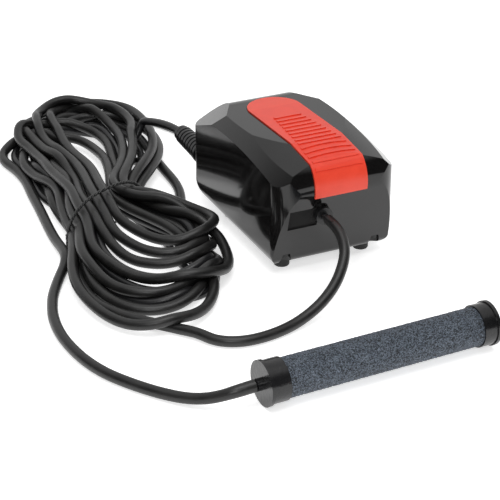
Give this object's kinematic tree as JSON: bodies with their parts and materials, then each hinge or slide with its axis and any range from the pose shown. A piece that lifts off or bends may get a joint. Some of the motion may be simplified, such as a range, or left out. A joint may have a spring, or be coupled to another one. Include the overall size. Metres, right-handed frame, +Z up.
{
  "type": "aquarium air pump",
  "caption": "Vibrating-arm diaphragm air pump in a rounded two-part casing, with mains lead, air hose wound in a tied hank and a cylindrical air stone.",
  "frame": {"origin": "on the floor under the middle of the pump's casing", "axes": "+Z up; -Y is the end with the air outlet and the band's lower end, +Y the end with the mains lead; +X to the right when looking at +Y"},
  "size_m": [0.3218, 0.5029, 0.0911],
  "materials": {
    "gloss_black": "polished injection-moulded ABS",
    "band_red": "satin moulded ABS",
    "foot_rubber": "matte",
    "screw_steel": "zinc plated",
    "black_plastic": "satin",
    "elbow_rubber": "matte",
    "head_plastic": "moulded",
    "seal_rubber": "matte",
    "valve_plastic": "moulded",
    "plate_aluminium": "satin",
    "magnet": "sintered ferrite",
    "core_steel": "laminated, varnished",
    "copper": "enamelled copper wire",
    "wire_pvc": "insulated wire",
    "felt": "felt",
    "lead_pvc": "satin PVC",
    "hose_rubber": "matte",
    "tie_wire": "plastic-covered wire",
    "pin_nickel": "nickel plated",
    "stone_grain": "bonded granules",
    "rod_brass": "drawn"
  },
  "bodies": {
    "housing": {"lower_housing": "gloss_black", "upper_housing": "gloss_black", "grip_band": "band_red", "foot_front_left": "foot_rubber", "foot_front_right": "foot_rubber", "foot_rear_left": "foot_rubber", "foot_rear_right": "foot_rubber", "housing_screws": "screw_steel", "outlet_nozzle": "black_plastic", "outlet_elbow": "elbow_rubber", "pump_head": "head_plastic", "head_gasket": "seal_rubber", "valve_plate": "valve_plastic", "head_ring": "head_plastic", "diaphragm": "seal_rubber", "clamp_plate": "plate_aluminium", "head_screws": "screw_steel", "pivot_pin": "screw_steel", "pivot_bracket": "plate_aluminium", "bracket_screws": "screw_steel", "magnet_core": "core_steel", "coil_bobbin": "valve_plastic", "coil_winding": "copper", "core_strap": "plate_aluminium", "strap_screws": "screw_steel", "coil_leads": "wire_pvc", "lead_clamp": "black_plastic", "clamp_screws": "screw_steel", "filter_pad": "felt", "filter_cover": "black_plastic", "strain_relief": "black_plastic", "lead_inner": "lead_pvc", "mains_lead": "lead_pvc", "lead_tail": "lead_pvc", "plug_body": "black_plastic", "plug_pins": "pin_nickel", "hank": "hose_rubber", "hank_tie": "tie_wire", "hose_out": "hose_rubber", "hose_stone": "hose_rubber", "stone_inlet_cap": "black_plastic", "air_stone": "stone_grain", "stone_end_cap": "black_plastic", "stone_rod": "rod_brass"},
    "arm": {"swing_arm": "plate_aluminium", "arm_magnets": "magnet", "diaphragm_plates": "plate_aluminium", "diaphragm_screw": "screw_steel"},
    "inlet_flap": {"inlet_flap": "seal_rubber"},
    "outlet_flap": {"outlet_flap": "seal_rubber"}
  },
  "joints": [
    {"name": "arm_swing", "type": "hinge", "parent": "housing", "child": "arm", "pos_m": [0.003, -0.058, 0.0515], "axis": [1, 0, 0], "range_deg": [-2, 2], "stiffness_Nm_per_rad": 4, "deforming": ["diaphragm"]},
    {"name": "inlet_flap_hinge", "type": "hinge", "parent": "housing", "child": "inlet_flap", "pos_m": [0.012, -0.032, 0.034], "axis": [1, 0, 0], "range_deg": [0, 12], "stiffness_Nm_per_rad": 0.0002, "springref_deg": -2.86},
    {"name": "outlet_flap_hinge", "type": "hinge", "parent": "housing", "child": "outlet_flap", "pos_m": [-0.006, -0.032, 0.031], "axis": [1, 0, 0], "range_deg": [-12, 0], "stiffness_Nm_per_rad": 0.0002, "springref_deg": 2.86}
  ]
}
